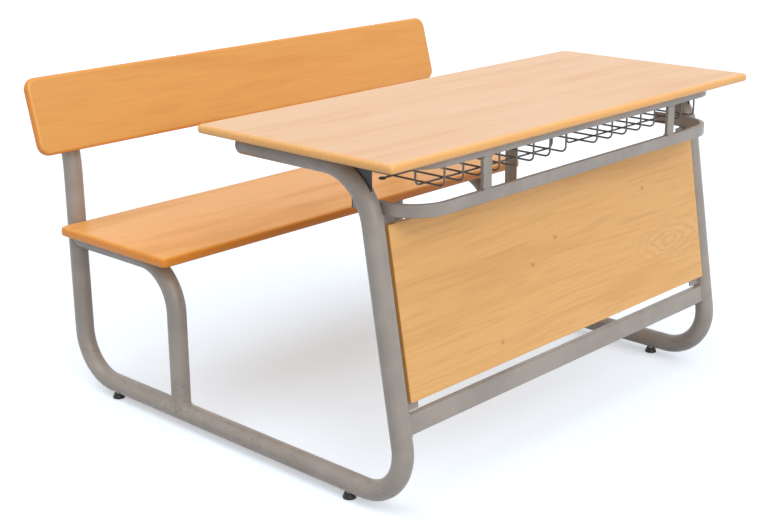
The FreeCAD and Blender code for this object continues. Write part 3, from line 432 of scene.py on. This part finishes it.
def add_bead(mesh, points, closed):
    """A rippled weld bead along a line of points."""
    size = bpy.context.scene.bench_desk_sizes
    count = len(points)
    rings = []
    travelled = 0.0
    across = None
    for index, point in enumerate(points):
        before = points[index - 1] if closed or index else point
        after = points[(index + 1) % count] if closed or index < count - 1 else point
        travelled += (point - before).length
        heading = (after - before).normalized()
        across = across or heading.orthogonal()
        across = (across - heading * across.dot(heading)).normalized()
        up = heading.cross(across)
        ripple = math.cos(2 * math.pi * travelled / size.weld_ripple)
        radius = size.weld_radius * (1 + RIPPLE_SHARE * ripple)
        turns = [2 * math.pi * step / BEAD_SIDES for step in range(BEAD_SIDES)]
        rings.append([mesh.verts.new(point + radius * (math.cos(t) * across + math.sin(t) * up))
                      for t in turns])
    for index in range(count if closed else count - 1):
        one, two = rings[index], rings[(index + 1) % count]
        for side in range(BEAD_SIDES):
            following = (side + 1) % BEAD_SIDES
            mesh.faces.new((one[side], one[following], two[following], two[side]))
    if not closed:
        mesh.faces.new(rings[0][::-1])
        mesh.faces.new(rings[-1])


def straight(start, end):
    """Closely spaced points from one place to another."""
    count = max(2, round((end - start).length / BEAD_STEP))
    return [start.lerp(end, step / count) for step in range(count + 1)]


def polygon(corners):
    """Closely spaced points round a closed outline."""
    points = []
    for start, end in zip(corners, corners[1:] + corners[:1]):
        points += straight(start, end)[:-1]
    return points


def tube_across(name):
    """The middle, on X, and the radius of a tube that lies in an upright plane."""
    low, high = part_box(name)
    return (high.x + low.x) / 2, (high.x - low.x) / 2


def box_middle(name):
    """The Y and Z of the middle of a piece."""
    low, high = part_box(name)
    return (low.y + high.y) / 2, (low.z + high.z) / 2


def seat_support_welds(side):
    """Saddle-shaped lines where a seat support meets the floor run and the rear post."""
    low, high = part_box(f"{side}_seat_support")
    middle, radius = tube_across(f"{side}_seat_support")
    floor_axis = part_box(f"{side}_side_frame")[0].z + radius
    leg_y, seat_z, post_y = low.y + radius, high.z - radius, high.y
    foot, head = [], []
    for step in range(SADDLE_STEPS):
        angle = 2 * math.pi * step / SADDLE_STEPS
        x, other = radius * math.cos(angle), radius * math.sin(angle)
        saddle = math.sqrt(max(radius ** 2 - x ** 2, 0.0))
        foot.append(Vector((middle + x, leg_y + other, floor_axis + saddle)))
        head.append(Vector((middle + x, post_y - saddle, seat_z + other)))
    return [(foot, True), (head, True)]


def foot_rail_weld(side, hand):
    """The line round the foot rail's end, where it meets the leg."""
    middle, radius = tube_across(f"{side}_side_frame")
    centre = Vector((middle, *box_middle("foot_rail")))
    deep, tall = FOOT_RAIL_HALF_DEPTH, FOOT_RAIL_HALF_HEIGHT
    points = []
    for corner in polygon([Vector((-deep, -tall, 0)), Vector((deep, -tall, 0)),
                           Vector((deep, tall, 0)), Vector((-deep, tall, 0))]):
        inward = math.sqrt(radius ** 2 - corner.x ** 2)
        points.append(centre - Vector((hand * inward, 0, 0)) - PANEL_FACING * corner.x
                      + LEG_RISE * corner.y)
    return [(points, True)]


def rail_welds(side, hand):
    """Lines along the arms of the front rails at the leg, and across the ends of the short
    upright between them."""
    tube_low, tube_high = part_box(f"{side}_side_frame")
    inner = tube_low.x if hand > 0 else tube_high.x
    foot_y, foot_z = box_middle("foot_rail")
    lines = []
    low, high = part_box("lower_front_rail")
    for z in (low.z, high.z):
        y = foot_y + (z - foot_z) * math.tan(LEG_LEAN)
        lines.append((straight(Vector((inner, y - LOWER_ARM_HALF_WELD, z)),
                               Vector((inner, y + LOWER_ARM_HALF_WELD, z))), False))
    upper_low, upper_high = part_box("upper_front_rail")
    lines.append((straight(Vector((inner, upper_high.y - UPPER_ARM_WELD, upper_low.z)),
                           Vector((inner, upper_high.y, upper_low.z))), False))
    link_low, link_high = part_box(f"{side}_rail_link")
    for y in (link_low.y, link_high.y):
        for z in (link_low.z, link_high.z):
            lines.append((straight(Vector((link_low.x, y, z)), Vector((link_high.x, y, z))),
                          False))
    return lines


def tab_welds(side):
    """Lines along the tabs and the bracket, where they meet the tubes."""
    middle, radius = tube_across(f"{side}_side_frame")
    lines = []
    for board in ("desk", "seat"):
        for end in ("front", "rear"):
            low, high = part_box(f"{side}_{end}_{board}_tab")
            edge = low.x if abs(low.x - middle) < abs(high.x - middle) else high.x
            lines.append((straight(Vector((edge, low.y, low.z)), Vector((edge, high.y, low.z))),
                          False))
    post_front = radius * math.cos(math.asin(BRACKET_HALF_WEB / radius))
    tip = Vector((middle, *box_middle(f"{side}_post_plug")))
    for hand in SIDES.values():
        head = (tip + BACKREST_FACING * post_front + Vector((hand * BRACKET_HALF_WEB, 0, 0))
                - POST_RISE * BRACKET_BELOW_PLUG)
        lines.append((straight(head - POST_RISE * BRACKET_WELD_FOOT,
                               head - POST_RISE * BRACKET_WELD_TOP), False))
    return lines


def stay_welds():
    """Lines round the centre stay's top, where it meets its plate."""
    low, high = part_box("centre_stay")
    half = (high.x - low.x) / 2
    back = high.y
    front = back - STAY_DEPTH
    corners = [Vector((-half, front, high.z)), Vector((half, front, high.z)),
               Vector((half, back, high.z)), Vector((-half, back, high.z))]
    return [(polygon(corners), True)]


def weld(name, lines, material):
    """One object of the beads along several lines."""
    mesh = bmesh.new()
    for points, closed in lines:
        add_bead(mesh, points, closed)
    bmesh.ops.recalc_face_normals(mesh, faces=mesh.faces)
    data = bpy.data.meshes.new(name)
    mesh.to_mesh(data)
    mesh.free()
    data.polygons.foreach_set("use_smooth", [True] * len(data.polygons))
    data.materials.append(material)
    beads = bpy.data.objects.new(name, data)
    bpy.context.scene.collection.objects.link(beads)
    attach(beads, "desk")


# ---- Studio ----

def rays_that_see(tree):
    """1 for rays from the camera, in reflections and through clear parts, 0 for rays that light
    the desk."""
    path = add_node(tree, "ShaderNodeLightPath", None)
    seen = add_node(tree, "ShaderNodeMath", "Value",
                    {0: path.outputs["Is Camera Ray"], 1: path.outputs["Is Glossy Ray"]},
                    operation="MAXIMUM")
    return add_node(tree, "ShaderNodeMath", "Value",
                    {0: seen, 1: path.outputs["Is Transmission Ray"]}, operation="MAXIMUM")


def lay_floor():
    """A wide pale floor of matt paper. It looks white, and keeps a soft shadow of the desk."""
    tint = bpy.context.scene.bench_desk_colours
    material, tree, surface = new_material("Paper, matt, studio floor", Roughness=0.9,
                                           Specular_IOR_Level=0.1, Emission_Color=WHITE)
    seen = rays_that_see(tree)
    tone = add_node(tree, "ShaderNodeMix", "Result",
                    {"Factor": seen, "A": tint.floor, "B": tint.floor_seen}, data_type="RGBA")
    tree.links.new(tone, surface.inputs["Base Color"])
    glow = add_node(tree, "ShaderNodeMath", "Value", {0: seen, 1: FLOOR_GLOW},
                    operation="MULTIPLY")
    tree.links.new(glow, surface.inputs["Emission Strength"])
    mesh = bmesh.new()
    bmesh.ops.create_grid(mesh, x_segments=1, y_segments=1, size=FLOOR_HALF)
    data = bpy.data.meshes.new("studio_floor")
    mesh.to_mesh(data)
    mesh.free()
    data.materials.append(material)
    floor = bpy.data.objects.new("studio_floor", data)
    floor.location.z = CAD_BOX[0].z - FLOOR_GAP
    bpy.context.scene.collection.objects.link(floor)


def light_studio():
    """A white sky that lights the desk mostly from overhead, and two very wide soft lamps."""
    scene = bpy.context.scene
    scene.view_settings.view_transform = "Standard"
    world = bpy.data.worlds.new("Studio sky")
    scene.world = world
    world.use_nodes = True
    tree = world.node_tree
    tree.nodes.clear()
    seen = rays_that_see(tree)
    direction = add_node(tree, "ShaderNodeTexCoord", "Generated")
    height = add_node(tree, "ShaderNodeSeparateXYZ", "Z", {"Vector": direction})
    overhead = add_node(tree, "ShaderNodeMapRange", "Result",
                        {"Value": height, "To Min": SKY_AT_HORIZON, "To Max": SKY_OVERHEAD})
    brightness = add_node(tree, "ShaderNodeMix", "Result",
                          {"Factor": seen, "A": overhead, "B": 1.0}, data_type="FLOAT")
    sky = add_node(tree, "ShaderNodeBackground", "Background",
                   {"Color": WHITE, "Strength": brightness})
    add_node(tree, "ShaderNodeOutputWorld", None, {"Surface": sky})
    for name, strength, toward in LAMPS:
        data = bpy.data.lights.new(name, "SUN")
        data.energy = strength
        data.angle = LAMP_SPREAD
        lamp = bpy.data.objects.new(name, data)
        lamp.rotation_euler = Vector(toward).to_track_quat("Z", "Y").to_euler()
        scene.collection.objects.link(lamp)


def place_camera():
    """A camera ahead of the desk's left end, a little above it, looking slightly down."""
    forward = Vector((math.sin(CAMERA_HEADING) * math.cos(CAMERA_TILT),
                      math.cos(CAMERA_HEADING) * math.cos(CAMERA_TILT), math.sin(CAMERA_TILT)))
    level = forward.cross(UPWARD).normalized()
    upright = level.cross(forward)
    right = level * math.cos(CAMERA_ROLL) + upright * math.sin(CAMERA_ROLL)
    up = upright * math.cos(CAMERA_ROLL) - level * math.sin(CAMERA_ROLL)
    data = bpy.data.cameras.new("Studio camera")
    data.sensor_width = SENSOR_WIDTH_MM
    data.lens = FOCAL_LENGTH_PIXELS / IMAGE_WIDTH * SENSOR_WIDTH_MM
    data.clip_end = 100.0
    camera = bpy.data.objects.new("Studio camera", data)
    turn = Matrix((right, up, -forward)).transposed().to_4x4()
    camera.matrix_world = Matrix.Translation(CAMERA_PLACE) @ turn
    bpy.context.scene.collection.objects.link(camera)
    bpy.context.scene.camera = camera


# ---- Operators ----

class BENCHDESK_OT_desktop(bpy.types.Operator):
    """Finish the desktop in pale beech with a darker rounded edge"""
    bl_idname = "benchdesk.desktop"
    bl_label = "Desktop"

    def execute(self, context):
        tint = context.scene.bench_desk_colours
        # The desktop's face carries a band of painted shade beside its outline
        finish_nodes(["desktop_board"],
                     beech("Beech veneer, satin lacquer, desktop", tint.desktop,
                           tint.desktop_vein, tint.desktop_edge, UPWARD,
                           shaded_band_board="desktop_board"))
        return {"FINISHED"}


class BENCHDESK_OT_bench(bpy.types.Operator):
    """Finish the seat and the backrest in warm lacquered beech"""
    bl_idname = "benchdesk.bench"
    bl_label = "Seat and backrest"

    def execute(self, context):
        tint = context.scene.bench_desk_colours
        # The backrest's face colour is the seat's beech made darker, as painted shade
        for piece, face, facing in (("seat", tint.seat, UPWARD),
                                    ("backrest", tint.backrest, BACKREST_FACING)):
            finish_nodes([f"{piece}_board"],
                         beech(f"Beech plywood, satin lacquer, {piece}", face, tint.bench_vein,
                               tint.bench_edge, facing, grain=0.22))
        return {"FINISHED"}


class BENCHDESK_OT_panel(bpy.types.Operator):
    """Finish the front panel in flat-sawn beech with a swirl and pin knots"""
    bl_idname = "benchdesk.panel"
    bl_label = "Front panel"

    def execute(self, context):
        tint = context.scene.bench_desk_colours
        finish_nodes(["front_panel"],
                     beech("Beech veneer, flat-sawn, satin lacquer", tint.panel,
                           tint.panel_vein, tint.panel_edge, PANEL_FACING, grain=0.38,
                           swirl=PANEL_SWIRL, knots=PANEL_KNOTS))
        return {"FINISHED"}


class BENCHDESK_OT_frame(bpy.types.Operator):
    """Coat the tubes, rails, tabs and brackets, coat the gussets near-black as painted shade, and
    lay the weld beads
    """
    bl_idname = "benchdesk.frame"
    bl_label = "Tube frame"

    def execute(self, context):
        tint = context.scene.bench_desk_colours
        coat = powder_coat("Powder coat, warm grey, satin", tint.frame, tint.scuff,
                           SCUFF_HEIGHT)
        finish_nodes(nodes_with("side_frame", "seat_support", "front_rail", "foot_rail",
                                "rail_link", "centre_stay", "_tab", "_plate", "bracket"), coat)
        # The gussets' near-black brown is painted shade for the deep shadow under the desktop
        finish_nodes(["bend_gussets"],
                     powder_coat("Powder coat, painted shade, gussets", tint.gusset_shade))
        for side, hand in SIDES.items():
            weld(f"{side}_frame_welds", seat_support_welds(side) + foot_rail_weld(side, hand)
                 + rail_welds(side, hand) + tab_welds(side), coat)
        weld("stay_welds", stay_welds(), coat)
        return {"FINISHED"}


class BENCHDESK_OT_baskets(bpy.types.Operator):
    """Coat the wires of the book baskets"""
    bl_idname = "benchdesk.baskets"
    bl_label = "Book baskets"

    def execute(self, context):
        tint = context.scene.bench_desk_colours
        finish_nodes(nodes_with("_wires", "_hangers"),
                     powder_coat("Powder coat, warm grey, wire", tint.wire))
        return {"FINISHED"}


class BENCHDESK_OT_plastics(bpy.types.Operator):
    """Finish the end plugs and the glide pads in moulded plastic"""
    bl_idname = "benchdesk.plastics"
    bl_label = "Plugs and glides"

    def execute(self, context):
        tint = context.scene.bench_desk_colours
        finish_nodes(nodes_with("_plug"),
                     moulded_plastic("Polypropylene, moulded, grey plug", tint.plug, 0.5))
        finish_nodes(nodes_with("glide_pad"),
                     moulded_plastic("Polypropylene, moulded, black glide", tint.glide, 0.42))
        return {"FINISHED"}


class BENCHDESK_OT_fasteners(bpy.types.Operator):
    """Plate the screws, glide stems and threaded inserts with zinc"""
    bl_idname = "benchdesk.fasteners"
    bl_label = "Fasteners"

    def execute(self, context):
        finish_nodes(nodes_with("screws", "glide_stem", "glide_insert"),
                     zinc_plate("Zinc plate, bright", context.scene.bench_desk_colours.zinc))
        return {"FINISHED"}


class BENCHDESK_OT_stage(bpy.types.Operator):
    """Set up the pale floor, the soft light and the camera"""
    bl_idname = "benchdesk.stage"
    bl_label = "Studio"

    def execute(self, context):
        lay_floor()
        light_studio()
        place_camera()
        return {"FINISHED"}


OPERATORS = (BENCHDESK_OT_desktop, BENCHDESK_OT_bench, BENCHDESK_OT_panel, BENCHDESK_OT_frame,
             BENCHDESK_OT_baskets, BENCHDESK_OT_plastics, BENCHDESK_OT_fasteners,
             BENCHDESK_OT_stage)


class BENCHDESK_PT_sidebar(bpy.types.Panel):
    """Lists the desk's operators and settings"""
    bl_label = "Bench Desk"
    bl_idname = "BENCHDESK_PT_sidebar"
    bl_space_type = "VIEW_3D"
    bl_region_type = "UI"
    bl_category = "Bench Desk"

    def draw(self, context):
        for operator in OPERATORS:
            self.layout.operator(operator.bl_idname)
        for group in (context.scene.bench_desk_colours, context.scene.bench_desk_sizes):
            box = self.layout.box()
            for setting in group.__annotations__:
                box.prop(group, setting)


CLASSES = (BenchDeskColours, BenchDeskSizes) + OPERATORS + (BENCHDESK_PT_sidebar,)


def register():
    """Add the classes and the scene's settings."""
    for item in CLASSES:
        bpy.utils.register_class(item)
    bpy.types.Scene.bench_desk_colours = PointerProperty(type=BenchDeskColours)
    bpy.types.Scene.bench_desk_sizes = PointerProperty(type=BenchDeskSizes)


def unregister():
    """Take them away again."""
    del bpy.types.Scene.bench_desk_sizes
    del bpy.types.Scene.bench_desk_colours
    for item in reversed(CLASSES):
        bpy.utils.unregister_class(item)


def main():
    """Finish every piece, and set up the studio."""
    register()
    bpy.ops.benchdesk.desktop()
    bpy.ops.benchdesk.bench()
    bpy.ops.benchdesk.panel()
    bpy.ops.benchdesk.frame()
    bpy.ops.benchdesk.baskets()
    bpy.ops.benchdesk.plastics()
    bpy.ops.benchdesk.fasteners()
    bpy.ops.benchdesk.stage()


if __name__ == "__main__":
    main()
